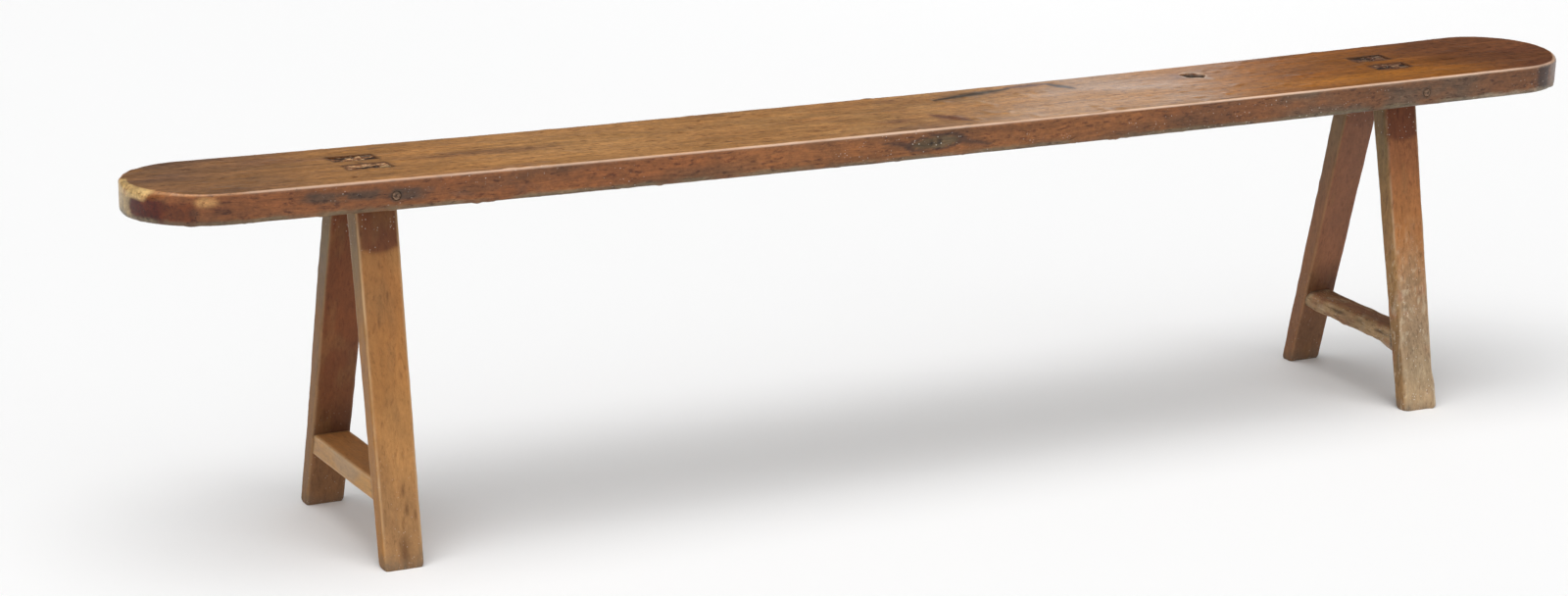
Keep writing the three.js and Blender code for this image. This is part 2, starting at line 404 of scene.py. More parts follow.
class Nodes:
    """Short names for the shader nodes that the woods are made of."""

    def __init__(self, name):
        self.material = bpy.data.materials.new(name)
        self.material.use_nodes = True
        self.tree = self.material.node_tree
        self.tree.nodes.clear()

    def add(self, kind, **sockets):
        node = self.tree.nodes.new(kind)
        for key, value in sockets.items():
            self.put(node.inputs[key.replace("_", " ")], value)
        return node

    def put(self, socket, value):
        if isinstance(value, bpy.types.NodeSocket):
            self.tree.links.new(value, socket)
        else:
            socket.default_value = value

    def attribute(self, name, output):
        node = self.add("ShaderNodeAttribute")
        node.attribute_name = name
        return node.outputs[output]

    def scaled(self, vector, scale, shift):
        node = self.add("ShaderNodeMapping", Vector=vector, Scale=scale, Location=shift)
        return node.outputs["Vector"]

    def noise(self, vector, detail, rough):
        node = self.add("ShaderNodeTexNoise", Vector=vector, Scale=1.0, Detail=detail, Roughness=rough)
        return node.outputs["Fac"]

    def spots(self, vector):
        return self.add("ShaderNodeTexVoronoi", Vector=vector, Scale=1.0).outputs["Distance"]

    def grey(self, value):
        return self.add("ShaderNodeCombineColor", Red=value, Green=value, Blue=value).outputs[0]

    def math(self, operation, a, b, clamp=False):
        node = self.tree.nodes.new("ShaderNodeMath")
        node.operation, node.use_clamp = operation, clamp
        self.put(node.inputs[0], a)
        self.put(node.inputs[1], b)
        return node.outputs[0]

    def times(self, a, b, clamp=False):
        return self.math("MULTIPLY", a, b, clamp)

    def plus(self, a, b, clamp=False):
        return self.math("ADD", a, b, clamp)

    def minus(self, a, b):
        return self.math("SUBTRACT", a, b)

    def span(self, value, low, high, to_low=0.0, to_high=1.0):
        node = self.tree.nodes.new("ShaderNodeMapRange")
        node.interpolation_type = "SMOOTHSTEP"
        for socket, v in zip(node.inputs[:5], (value, low, high, to_low, to_high)):
            self.put(socket, v)
        return node.outputs[0]

    def mix(self, share, a, b, blend="MIX"):
        node = self.tree.nodes.new("ShaderNodeMix")
        node.data_type, node.blend_type = "RGBA", blend
        self.put(node.inputs["Factor"], share)
        for socket, value in zip([s for s in node.inputs if s.type == "RGBA"], (a, b)):
            self.put(socket, value if isinstance(value, bpy.types.NodeSocket) else (*value, 1.0))
        return next(s for s in node.outputs if s.type == "RGBA")


BUMP_DEPTH = 0.4 * MM


def wood(name, seed, gloss, pale, grime_and_shade, contrast, holes, coat=0.0, shine=0.3):
    """Old wood. It follows what finish_piece stores on the mesh."""
    n = Nodes(name)
    grain = n.attribute("grain", "Vector")
    paint = n.attribute("paint", "Color")
    worn = n.attribute("wear_and_highlight", "Fac")
    grimed_and_shaded = n.attribute("grime_and_shade", "Fac")
    end = n.attribute("end_grain", "Fac")
    specked = n.attribute("specks", "Fac")

    shift = (seed * 1.7, seed * 0.9, seed * 2.3)

    def texture(space, scale, detail, rough=0.55):
        return n.noise(n.scaled(space, scale, shift), detail, rough)

    wander = texture(grain, (3, 9, 9), 3)
    bent = n.add("ShaderNodeVectorMath")
    bent.operation = "MULTIPLY_ADD"
    n.put(bent.inputs[0], wander)
    n.put(bent.inputs[1], (0.0, 0.05, 0.05))
    n.put(bent.inputs[2], grain)
    bent = bent.outputs[0]
    bands = texture(bent, (3.4, 56, 56), 5, 0.66)
    streaks = texture(bent, (9, 330, 330), 4, 0.65)
    pores = texture(bent, (42, 1100, 1100), 2, 0.6)
    fibres = texture(bent, (14, 1500, 1500), 2, 0.7)
    patches = texture(grain, (9, 18, 18), 6, 0.66)
    rings = texture(grain, (200, 170, 330), 4, 0.7)

    # Along the grain: slow bands, finer streaks and dark pores. Across it: crumbled end grain.
    band = n.span(bands, 0.28, 0.72, 1 - 0.2 * contrast, 1 + 0.18 * contrast)
    streak = n.span(streaks, 0.25, 0.75, 1 - 0.2 * contrast, 1 + 0.16 * contrast)
    pore = n.span(pores, 0.3, 0.42, 1 - 0.4 * contrast, 1.0)
    patch = n.span(patches, 0.25, 0.75, 0.84, 1.14)
    along = n.times(n.times(band, streak), pore)
    across = n.span(rings, 0.32, 0.68, 0.45, 1.45)
    light = n.times(patch, n.plus(along, n.times(end, n.minus(across, along))))
    colour = n.mix(1.0, paint, n.grey(light), "MULTIPLY")
    flecks = texture(bent, (70, 240, 240), 3, 0.6)
    colour = n.mix(n.span(flecks, 0.55, 0.68, 0.0, 0.75 * contrast), colour, (0.34, 0.24, 0.2), "MULTIPLY")
    mottle = texture(grain, (120, 190, 190), 5, 0.75)
    mottle = n.span(mottle, 0.3, 0.7, 1 - 0.24 * contrast, 1 + 0.2 * contrast)
    colour = n.mix(1.0, colour, n.grey(mottle), "MULTIPLY")
    ruddy = n.span(bands, 0.55, 0.8, 0.0, 0.35)
    colour = n.mix(ruddy, colour, (0.9, 0.62, 0.45), "MULTIPLY")

    # Pale where hands and feet have rubbed, partly a painted highlight along the arrises; dark where dirt
    # has stayed, and painted shade inside the knot hole.
    rub_and_highlight = n.times(worn, n.span(patches, 0.2, 0.5, 0.6, 1.0), clamp=True)
    colour = n.mix(n.times(rub_and_highlight, 0.85), colour, pale)
    scuff = n.span(texture(grain, (60, 110, 110), 6, 0.75), 0.4, 0.62)
    dirt_and_shade = n.times(grimed_and_shaded, n.span(scuff, 0.0, 1.0, 0.55, 1.0), clamp=True)
    colour = n.mix(dirt_and_shade, colour, grime_and_shade)

    # A few worm holes.
    cells = n.spots(n.scaled(grain, (95, 120, 120), shift))
    chosen = n.span(texture(grain, (14, 20, 20), 2), 0.56, 0.62)
    hole = n.times(n.span(cells, 0.1, 0.06), n.times(chosen, holes), clamp=True)
    colour = n.mix(hole, colour, (0.03, 0.018, 0.01))

    # Specks of old whitewash.
    dots = n.spots(n.scaled(grain, (230, 300, 300), shift))
    thrown = n.span(texture(grain, (120, 160, 160), 2), 0.5, 0.6)
    dot = n.times(n.span(dots, 0.24, 0.14), n.times(thrown, specked), clamp=True)
    colour = n.mix(dot, colour, (0.66, 0.6, 0.52))

    rough = n.span(patches, 0.3, 0.7, gloss - 0.06, gloss + 0.09)
    rough = n.plus(rough, n.times(dirt_and_shade, 0.28))
    rough = n.minus(rough, n.times(worn, 0.12))
    rough = n.plus(rough, n.times(end, 0.22), clamp=True)

    relief = n.plus(n.times(streaks, 0.5), n.times(pore, 0.5))
    relief = n.plus(relief, n.times(fibres, 0.25))
    relief = n.plus(relief, n.times(scuff, n.times(grimed_and_shaded, 0.6)))
    relief = n.plus(relief, n.times(end, n.times(rings, 1.6)))
    relief = n.minus(relief, n.times(hole, 3.0))
    raised = n.add("ShaderNodeBump", Strength=0.5, Distance=BUMP_DEPTH, Height=relief)

    surface = n.add(
        "ShaderNodeBsdfPrincipled", Base_Color=colour, Roughness=rough, Normal=raised.outputs[0], IOR=1.48
    )
    surface.inputs["Specular IOR Level"].default_value = shine
    surface.inputs["Coat Weight"].default_value = coat
    surface.inputs["Coat Roughness"].default_value = 0.22
    output = n.add("ShaderNodeOutputMaterial", Surface=surface.outputs[0])
    output.target = "ALL"
    return n.material


# Each wood's seed, roughness, colour where worn and where a highlight is painted, colour of dirt and
# painted shade, contrast and worm holes. The plank has a coat of polish and a shine of its own as well.
WOODS = {
    "polished_plank": (1, 0.36, (0.76, 0.54, 0.4), (0.05, 0.036, 0.024), 1.0, 0.5, 0.12, 0.32),
    "worn_leg": (2, 0.5, (0.56, 0.36, 0.19), (0.13, 0.1, 0.07), 0.42, 0.2),
    "greyed_leg": (3, 0.6, (0.6, 0.47, 0.33), (0.14, 0.11, 0.085), 0.6, 0.35),
    "plain_board": (4, 0.38, (0.6, 0.38, 0.2), (0.1, 0.07, 0.05), 0.42, 0.1),
    "greyed_board": (5, 0.62, (0.6, 0.48, 0.34), (0.13, 0.105, 0.08), 0.8, 0.35),
    "split_wedge": (6, 0.6, (0.6, 0.45, 0.28), (0.1, 0.08, 0.06), 1.0, 0.0),
    "whittled_peg": (7, 0.55, (0.5, 0.4, 0.3), (0.06, 0.045, 0.035), 1.0, 0.0),
}
woods = {name: wood(name, *look) for name, look in WOODS.items()}


# ---- The plank --------------------------------------------------------------------------------

TOP_POINTS, WALL_POINTS, ARRIS_POINTS = 62, 11, 6
STATION = 3.1
TIP_ANGLE = math.radians(88)


def wavy(x, size, coarse, fine, seed, coarse_cells, fine_cells):
    """A size that wanders along the plank, by coarse and by fine noise."""
    p = np.zeros((len(x), 3))
    p[:, 0] = x
    wander = size + coarse * noise(p, (coarse_cells, 1, 1), seed)
    return wander + fine * noise(p, (fine_cells, 1, 1), seed + 1)


def plank_rings():
    """Rings round the plank, fanned round its ends, in the straight plank's own frame."""
    middle = HALF_LENGTH - HALF_WIDTH
    straight = np.linspace(-middle, middle, round(2 * middle / STATION) + 1)
    fan = np.linspace(0, TIP_ANGLE, round(HALF_WIDTH * TIP_ANGLE / STATION) + 1)[1:]
    centre = np.concatenate([np.full(len(fan), -middle), straight, np.full(len(fan), middle)])
    angle = np.concatenate([-fan[::-1], np.zeros(len(straight)), fan])
    edge_x = centre + HALF_WIDTH * np.sin(angle)

    # The worn upper edge: narrow along the sides, wide on the near left corner and the right tip.
    left_corner = np.exp(-(((edge_x + HALF_LENGTH - 13) / 17) ** 2))
    right_tip = np.exp(-(((edge_x - HALF_LENGTH + 16) / 24) ** 2))
    near_top = wavy(edge_x, 3.1, 0.5, 0.35, 3, 9, 60) + (7.5 * left_corner + 4.0 * right_tip)
    far_top = wavy(edge_x, 4.8, 1.0, 0.7, 5, 9, 60)
    near_low = wavy(edge_x, 4.4, 1.1, 0.8, 7, 12, 70)
    far_low = wavy(edge_x, 4.4, 1.1, 0.8, 9, 12, 70)
    return centre, angle, near_top, far_top, near_low, far_low


def make_plank():
    centre, angle, near_top, far_top, near_low, far_low = plank_rings()
    sin, cos = np.sin(angle), np.cos(angle)
    quarter = np.linspace(0, math.pi / 2, ARRIS_POINTS)
    wall = np.linspace(0, 1, WALL_POINTS + 2)[1:-1]
    columns = []

    def at(inset, side, z):
        """Points on one side of every ring, inset from its outline."""
        reach = HALF_WIDTH - inset
        columns.append(np.stack([centre + reach * sin, side * reach * cos, z + 0 * centre], axis=1))

    def chord(first_side, first_inset, last_inset, z):
        """Points straight across every ring, both ends left out."""
        for share in np.linspace(0, 1, TOP_POINTS + 2)[1:-1]:
            inset = first_inset + (last_inset - first_inset) * share
            reach = HALF_WIDTH - inset
            y = first_side * reach * cos * (1 - 2 * share)
            columns.append(np.stack([centre + reach * sin, y, z + 0 * centre], axis=1))

    def edge(side, top, low, order):
        """One side of every ring: its upper arris, its wall and its lower arris."""
        rows = [(top * (1 - math.sin(a)), -top * (1 - math.cos(a))) for a in quarter]
        rows += [(0 * centre, -top - (THICKNESS - top - low) * share) for share in wall]
        rows += [(low * (1 - math.cos(a)), -THICKNESS + low * (1 - math.sin(a))) for a in quarter]
        for inset, z in rows[::order]:
            at(inset, side, z)

    edge(-1, near_top, near_low, 1)
    chord(-1, near_low, far_low, -THICKNESS)
    edge(1, far_top, far_low, -1)
    chord(1, far_top, near_top, 0.0)

    grid = np.stack(columns, axis=1)
    rows, count = grid.shape[:2]
    faces = [face[::-1] for face in quads_between(rows, count)]
    side = 2 * ARRIS_POINTS + WALL_POINTS

    # Each tip is a narrow upright strip, closed straight across.
    far = [side + TOP_POINTS + k for k in range(side)][::-1]
    for row, turn in ((0, 1), (rows - 1, -1)):
        start = row * count
        for k in range(side - 1):
            face = (start + k, start + k + 1, start + far[k + 1], start + far[k])
            faces.append(face[::turn])
        low = [start + side - 1 + k for k in range(TOP_POINTS + 2)]
        high = [start + far[0] + k for k in range(TOP_POINTS + 1)] + [start]
        faces.append(tuple(low)[::turn])
        faces.append(tuple(high)[::turn])
    return new_piece("plank_top", bend(grid.reshape(-1, 3)), faces)


MARKS = {
    "knot_hole": (466, 42),
    "knot_dish": (475, 19),
    "streak": ((75, 51), (197, 73)),
    "cross_check": ((258, 80), (279, 38)),
    "red_check": ((27, -26), (57, -72)),
    "edge_knot": (-6, -18.5),
}


def beside_tenons(x, y, reach):
    """1 on the four tenons' ends, falling to 0 at reach from them."""
    total = np.zeros(len(x))
    for trestle in TRESTLES.values():
        for hand in HANDS.values():
            tx, ty = tenon_at(trestle, hand, 0.0)
            dx = np.maximum(np.abs(x - trestle["x"] - tx) - LEG_TOP[0] / 2, 0)
            dy = np.maximum(np.abs(y - ty) - TENON_THICKNESS / 2, 0)
            total = np.maximum(total, step(reach, 0.0, np.hypot(dx, dy)))
    return total


def plank_relief(p, normal):
    """How deep each point of the plank is worn in."""
    x, y, z = p.T
    up = step(0.6, 0.95, normal[:, 2])
    near = step(0.5, 0.9, -normal[:, 1])
    depth = 0.45 * noise(p, (4, 22, 22), 11) + 0.22 * noise(p, (22, 90, 90), 12)
    depth += 0.12 * noise(p, (30, 420, 420), 13, 2)
    depth += up * 0.5 * (1 - (y / HALF_WIDTH) ** 2)
    depth *= 1 - 0.9 * step(0.0, 0.6, beside_tenons(x, y, 22)) * up
    depth += up * 2.4 * blob(x, y, MARKS["knot_dish"], (13, 18))
    depth += up * 1.1 * stroke(x, y, *MARKS["streak"], 7)
    depth += up * 1.3 * stroke(x, y, *MARKS["cross_check"], 6)
    knot_x, knot_z = MARKS["edge_knot"]
    for dx in (-6, 4):
        depth += near * 2.2 * blob(x, z, (knot_x + dx, knot_z), (4, 3))
    depth += near * 0.5 * blob(x, z, (knot_x, knot_z), (40, 12))
    low_edge = step(-THICKNESS + 8, -THICKNESS + 2, z)
    nibble = np.maximum(noise(p, (55, 60, 60), 14) - 0.22, 0)
    depth += low_edge * 4.5 * nibble
    high_edge = step(-7, -1.5, z) * (1 - up)
    depth += high_edge * 2.5 * np.maximum(noise(p, (40, 60, 60), 15) - 0.35, 0)
    return depth


def mortise_shape(trestle, hand, seed):
    """A chopped mortise: the tenon's own outline with a ragged edge, a little wider at the top."""
    levels = np.array([-THICKNESS - 8, -THICKNESS, -20, -4, -1.2, 6])
    flare = np.array([0.5, 0.5, 0.3, 0.4, 1.0, 2.2])
    rings = []
    for z, extra in zip(levels, flare):
        x, y = tenon_at(trestle, hand, z)
        ring = rounded_section(LEG_TOP[0] + 2 * extra, TENON_THICKNESS + 2 * extra, 1.2, 3.4)
        ring = level_ring(ring, x, y, z)
        ragged = noise(ring * (1, 1, 0.2), (150, 150, 150), seed, 2)[:, None]
        ring[:, :2] += (ring[:, :2] - (x, y)) * ragged * (0.02 if z < -2 else 0.05)
        rings.append(placed(ring, trestle))
    return tool(rings)


KNOT_RADII = (12.5, 15)
KNOT_RINGS = ((13, 0.35), (11, 0.7), (7, 0.9), (2.5, 1.0), (0.5, 1.15), (-4, 1.5))  # depth, reach


def knot_hole():
    """A hole left by a fallen knot: deep, ragged, longer across the plank."""
    rings = []
    angles = np.linspace(0, 2 * math.pi, 41)[:-1]
    for depth, reach in KNOT_RINGS:
        ragged = 1 + 0.16 * np.cos(2 * angles + 0.6) + 0.1 * np.cos(5 * angles + 0.2 * depth)
        across = np.column_stack([np.cos(angles), np.sin(angles)]) * KNOT_RADII
        across *= (reach * ragged)[:, None]
        rings.append(bend(level_ring(across, *MARKS["knot_hole"], -depth)))
    return tool(rings)


def peg_points(trestle, hand, radius, extra=0.0, rows=14, whittled=0.0, seed=0):
    """Rings of a peg from its outer end to its tip."""
    x = trestle["peg_x"]
    inner = tenon_at(trestle, hand, -PEG["down"])[1] - hand * TENON_THICKNESS / 2
    tip = inner - hand * (PEG["past"] + extra)
    end = hand * (HALF_WIDTH + PEG["proud"] + extra)
    angles = np.linspace(0, 2 * math.pi, 33)[:-1] * hand
    rings = []
    for share in np.linspace(0, 1, rows):
        rim = 0.88 if share == 0 and whittled else 1.0
        flats = 1 + whittled * np.cos(angles * 8 + seed)
        ring = np.column_stack(
            [
                x + radius * rim * flats * np.cos(angles),
                np.full(len(angles), end + (tip - end) * share ** 1.6),
                -PEG["down"] + radius * rim * flats * np.sin(angles),
            ]
        )
        rings.append(placed(ring, trestle))
    return rings


def peg_hole(trestle, hand):
    return tool(peg_points(trestle, hand, PEG["radius"] + GAP, 1))


def end_angle(x, y, side):
    """Degrees round one of the plank's ends: 0 at its tip and 90 where its near side begins."""
    centre = side * (HALF_LENGTH - HALF_WIDTH)
    return np.degrees(np.arctan2(-y, side * (x - centre)))


def hump(value, low, high, soft):
    """1 between low and high, 0 beyond them by soft."""
    return step(low - soft, low, value) * step(high + soft, high, value)


def plank_colour(p, normal):
    """Large-scale colour of the plank, with painted shade and highlights in places, and where it is worn
    and dirty.
    """
    x, y, z = p.T
    up = step(0.5, 0.9, normal[:, 2])
    down = step(0.5, 0.9, -normal[:, 2])
    near = step(0.3, 0.8, -normal[:, 1])
    side = (1 - up) * (1 - down)
    cloud = noise(p, (5, 22, 22), 21)
    fine = noise(p, (24, 60, 60), 22)
    ragged = noise(p, (60, 120, 120), 24)
    honey, tan = (172, 122, 72), (188, 140, 86)
    umber, orange = (140, 100, 66), (146, 87, 28)
    plum = (116, 71, 42)
    colour = painted(
        honey,
        (umber, step(-690, -960, x + 60 * cloud)),
        (tan, 0.6 * np.exp(-(((x + 40) / 300) ** 2)) * step(-0.3, 0.5, fine)),
        ((192, 142, 88), 0.75 * blob(x, y, (-450, 0), (230, 130))),
        ((126, 88, 68), 0.5 * step(0.15, 0.6, cloud) * step(300, 0, x)),
        (orange, 0.95 * step(330, 620, x + 50 * cloud)),
        (plum, step(700, 900, x + 70 * cloud + 0.5 * y)),
        ((98, 56, 38), 0.5 * step(0.1, 0.6, cloud) * step(500, 800, x)),
        ((186, 120, 44), 0.55 * blob(x, y + 12 * fine, (660, -62), (300, 44))),
        ((104, 78, 66), 0.65 * step(-0.1, 0.5, cloud + 0.4 * fine) * step(-760, -950, x)),
    )
    halo = blob(x, y, (455, 44), (46, 34)) * (0.6 + 0.4 * fine)
    around_hole = blob(x, y, MARKS["knot_hole"], (23, 25))
    in_hole = step(0.02, 0.1, around_hole) * step(-1.0, -1.8, z) * (z > -THICKNESS / 2)
    colour = painted(
        colour,
        ((118, 82, 74), 0.75 * halo * up),
        ((96, 74, 50), 0.6 * stroke(x, y, *MARKS["streak"], 30) * up),
        ((60, 48, 32), 0.95 * stroke(x, y, *MARKS["streak"], 14) * up),
        ((40, 26, 28), stroke(x, y, *MARKS["cross_check"], 15) * up),
        ((84, 50, 46), 0.85 * stroke(x, y, (196, 79), (262, 79), 15) * up),
        ((112, 66, 46), 0.7 * stroke(x, y, *MARKS["red_check"], 30) * up),
        ((92, 52, 40), 0.6 * stroke(x, y, *MARKS["red_check"], 14) * up),
        ((118, 78, 58), 0.6 * blob(x, y, (-28, -42), (40, 20)) * up),
        ((168, 142, 124), 0.9 * blob(x, y, MARKS["knot_dish"], (11, 15)) * up),
        # A pale ring round the knot hole: partly pale wood at its rim, partly painted light where the rim
        # catches the light.
        ((196, 166, 138), 0.8 * hump(around_hole, 0.14, 0.34, 0.06) * (1 - in_hole) * (z > -4)),
        # The knot hole's walls are painted near-black: painted shade inside the hole.
        ((13, 9, 6), in_hole),
        ((176, 140, 116), 0.5 * blob(x, y, (412, 49), (20, 14)) * up),
    )
    # The edges are redder and duller than the top.
    colour = painted(
        colour,
        ((126, 72, 35), 0.93 * side),
        ((142, 90, 48), 0.6 * side * hump(x + 90 * cloud, -260, 260, 120)),
        ((112, 72, 42), 0.8 * side * step(300, 650, x + 90 * cloud)),
        ((98, 66, 42), 0.65 * side * step(0.0, 0.5, noise(p, (6, 30, 30), 23))),
        ((150, 92, 46), 0.5 * side * step(0.2, 0.6, fine)),
        ((122, 92, 66), 0.85 * down),
    )
    knot_x, knot_z = MARKS["edge_knot"]
    swirl = blob(x, z + 1.5 * fine, (knot_x, knot_z + 1), (50, 11.5), 0.06)
    rim = hump(swirl, 0.05, 0.2, 0.05)
    tail_a = stroke(x, z, (knot_x - 80, knot_z + 7), (knot_x - 10, knot_z - 3), 6)
    tail_b = stroke(x, z, (knot_x + 8, knot_z + 6), (knot_x + 82, knot_z - 8), 7)
    hollow = sum(blob(x, z, (knot_x + dx, knot_z), (6, 5)) for dx in (-6, 5))
    band = hump(z + 16.5 + 0.045 * (x + 745) + 4 * fine, -4, 3.5, 5)
    left_stain = band * hump(x + 12 * cloud, -820, -700, 30) * step(-0.7, 0.1, ragged)
    left_smear = band * hump(x, -690, -570, 60) * step(-0.2, 0.5, ragged + 0.5 * fine)
    right_stain = hump(x + 20 * cloud, 560, 800, 70) * step(-0.5, 0.3, fine)
    colour = painted(
        colour,
        ((66, 44, 34), 0.85 * np.maximum(np.maximum(tail_a, tail_b), rim)),
        ((80, 66, 44), 0.85 * step(0.15, 0.4, swirl)),
        ((112, 92, 66), 0.6 * step(0.15, 0.4, swirl) * step(0.1, 0.5, ragged)),
        ((22, 17, 13), hollow),
        ((66, 56, 46), 0.75 * left_stain),
        ((88, 66, 54), 0.6 * left_smear),
        ((88, 74, 60), 0.7 * right_stain),
        where=near,
    )
    # Burns, chips and a bruise round the near side of the left end; round the right end, a darker patch, a
    # painted shade band and a painted highlight where its facets turn.
    left_turn, right_turn = end_angle(x, y, -1) - 7, end_angle(x, y, 1) - 7
    left_end = side * step(-890, -925, x)
    right_end = side * step(900, 925, x)
    mottle = 5 * fine + 4 * ragged
    inset = HALF_WIDTH - np.hypot(np.maximum(np.abs(x) - HALF_LENGTH + HALF_WIDTH, 0), y)
    chip = hump(left_turn + mottle, -22, 20, 6) * step(-14, -10, z + 2 * ragged)
    chip = chip * step(10, 7, inset + 1.5 * fine)
    pale_tip = hump(left_turn + mottle, -60, 4, 6)
    burn = hump(left_turn + mottle, 7, 36, 5) * step(-6, -11, z + 3 * fine)
    singe = hump(left_turn + mottle, 36, 56, 6) * step(-9, -14, z + 4 * fine)
    bruise = blob(left_turn, z, (58, -22), (6, 9)) * (0.7 + 0.5 * fine)
    patch = blob(left_turn + mottle, z, (66, -9), (12, 9))
    below_patch = blob(left_turn, z, (76, -21), (12, 8))
    colour = painted(
        colour,
        ((176, 152, 108), 0.85 * pale_tip),
        ((100, 86, 64), 0.65 * pale_tip * step(-0.1, 0.4, fine)),
        ((74, 18, 0), burn),
        ((108, 48, 8), 0.6 * burn * step(0.0, 0.5, ragged)),
        ((98, 44, 10), 0.85 * singe),
        ((42, 30, 22), 0.9 * np.clip(bruise, 0, 1)),
        ((72, 36, 16), 0.7 * below_patch),
        ((186, 138, 84), 0.85 * np.clip(patch * 1.6, 0, 1)),
        where=left_end,
    )
    colour = painted(
        colour,
        ((96, 56, 30), 0.85 * hump(right_turn, 30, 70, 8)),
        # Painted shade band, then a painted highlight, where the right end's facets turn.
        ((46, 28, 20), 0.8 * hump(right_turn, 60, 70, 4)),
        ((120, 88, 60), 0.7 * hump(right_turn, 46, 53, 4)),
        where=right_end,
    )
    # The upper arris is pale and less rough: partly worn, partly a painted highlight; golden along the left
    # end and tan at the right tip.
    top_arris = step(-3.4, -1.4, z) * (1 - step(0.93, 0.99, normal[:, 2]))
    top_arris *= step(12, 8, inset)
    low_arris = step(-THICKNESS + 7.5, -THICKNESS + 4, z + 2.5 * ragged) * (1 - 0.6 * down)
    right_tip = step(HALF_LENGTH - 75, HALF_LENGTH - 20, x) * top_arris
    colour = painted(
        colour,
        ((112, 100, 76), 0.8 * low_arris * step(-0.7, 0.1, fine)),
        ((140, 124, 104), 0.8 * low_arris * step(760, 830, x)),
        ((196, 138, 84), 0.7 * right_tip),
        ((72, 44, 28), 0.75 * step(0.4, 0.9, beside_tenons(x, y, 10) + 0.3 * fine) * (z > -4) * up),
        ((178, 116, 56), 0.8 * top_arris * step(-870, -900, x)),
        ((196, 164, 110), 0.9 * chip * step(-880, -920, x)),
        ((160, 112, 68), 0.7 * chip * step(0.1, 0.5, ragged) * step(-880, -920, x)),
    )
    wear_and_highlight = top_arris * (1 - chip) * (0.8 + 0.2 * step(-0.6, 0.2, fine))
    wear_and_highlight *= 1 - 0.3 * step(0, -550, x) - 0.5 * step(-880, -930, x)
    wear_and_highlight *= 1 - 0.35 * step(800, 950, x)
    # Darker on the underside, along parts of the lower arris and round the tenons and pegs; the knot hole's
    # walls get it in full as painted shade.
    grime_and_shade = 0.3 * down + 0.35 * low_arris * step(0.0, 0.5, ragged)
    grime_and_shade += 0.25 * step(0.45, 1.0, beside_tenons(x, y, 12) + 0.25 * fine) * up
    for trestle in TRESTLES.values():
        ring = np.hypot(x - trestle["x"] - trestle["peg_x"], z + PEG["down"]) + 2 * fine
        grime_and_shade += 0.8 * step(10, 5, ring) * side
    grime_and_shade = np.maximum(grime_and_shade, in_hole)
    specks = 0.5 * side * step(0.0, 0.5, cloud + 0.5 * fine) + 0.8 * step(0.1, 0.4, swirl) * near
    specks = specks + 0.35 * up * step(0.3, 0.7, fine)
    return colour, wear_and_highlight, grime_and_shade, specks


MORTISE_SEED = 31
plank = make_plank()
local = unbend(points_of(plank))
carve(plank, plank_relief(local, normals_of(plank)))
holes = []
for trestle in TRESTLES.values():
    for seed, hand in enumerate(HANDS.values()):
        holes += [mortise_shape(trestle, hand, MORTISE_SEED + seed), peg_hole(trestle, hand)]
cut(plank, [*holes, knot_hole()])

local = unbend(points_of(plank))
colour, wear_and_highlight, grime_and_shade, specks = plank_colour(local, normals_of(plank))
finish_piece(plank, "polished_plank", "seat_plank", local, colour, wear_and_highlight, grime_and_shade, 0 * wear_and_highlight, specks)


# ---- The legs -----------------------------------------------------------------------------------

ROUND = {  # radius of a leg's corners, in millimetres: +X-Y, +X+Y, -X+Y, -X-Y
    "left_near": (2.2, 2.0, 2.2, 3.6),
    "left_far": (2.4, 2.6, 3.2, 2.8),
    "right_near": (2.8, 2.4, 3.0, 7.0),
    "right_far": (2.6, 2.8, 4.0, 3.2),
}
LEG_STATIONS, TENON_STATIONS, STRETCHER_STATIONS = 150, 15, 60
FOOT_CHAMFER, FOOT_PART = 3.0, 70  # its size, over this part of the leg's height
ON_FLOOR = 0.05


def floor_level_at(trestle, y):
    """The level, in the trestle's frame, at which the floor lies."""
    return -(float(top_height(trestle["x"])) + y * math.sin(trestle["wind"])) / math.cos(trestle["wind"])


def tenon_ring(trestle, hand, z, grow=0.0):
    x, y = tenon_at(trestle, hand, z)
    ring = rounded_section(LEG_TOP[0] + 2 * grow, TENON_THICKNESS + 2 * grow, 0.8)
    return level_ring(ring, x, y, z)


def leg_ring(trestle, hand, share, radii, seed):
    """One ring of a leg: share is 0 on the floor and 1 at its shoulder."""
    shoulder = UNDERSIDE - 2 * GAP
    z = FLOOR_LEVEL + share * (shoulder - FLOOR_LEVEL)
    x, y, width, depth = leg_at(trestle, hand, z)
    swell = []
    for k, radius in enumerate(radii):
        wobble = 0.35 * lone(z * MM, seed + k, 14) + 0.3 * lone(z * MM, seed + k, 70)
        swell.append(radius * (1 + wobble))
    foot = FOOT_CHAMFER * max(0.0, 1 - share * FOOT_PART) ** 2
    ring = level_ring(cornered_section(width - foot, depth - foot, swell), x, y, z)
    drop = (floor_level_at(trestle, ring[:, 1]) - FLOOR_LEVEL) * (1 - share)
    ring[:, 2] += drop
    ring[:, 1] -= hand * LEG_SLOPE * drop
    return ring


def wedge_rings(trestle, hand, grow=0.0, rows=9):
    rings = []
    for share in np.linspace(0, 1, rows):
        z = -TENON_RECESS - WEDGE["depth"] - grow + share * (WEDGE["depth"] + 2 * grow)
        x, y = tenon_at(trestle, hand, z)
        thickness = WEDGE["tip"] + (WEDGE["top"] - WEDGE["tip"]) * share + 2 * grow
        x += (LEG_TOP[0] - WEDGE["width"]) / 2
        y += hand * (TENON_THICKNESS / 2 + grow - thickness / 2)
        ring = rounded_section(WEDGE["width"] + 2 * grow, thickness, 0.5, 4)
        ring = level_ring(ring, x, y, z)
        rings.append(placed(ring, trestle))
    return rings


def stretcher_level(trestle):
    return trestle["stretcher"]["middle"] - float(top_height(trestle["x"]))


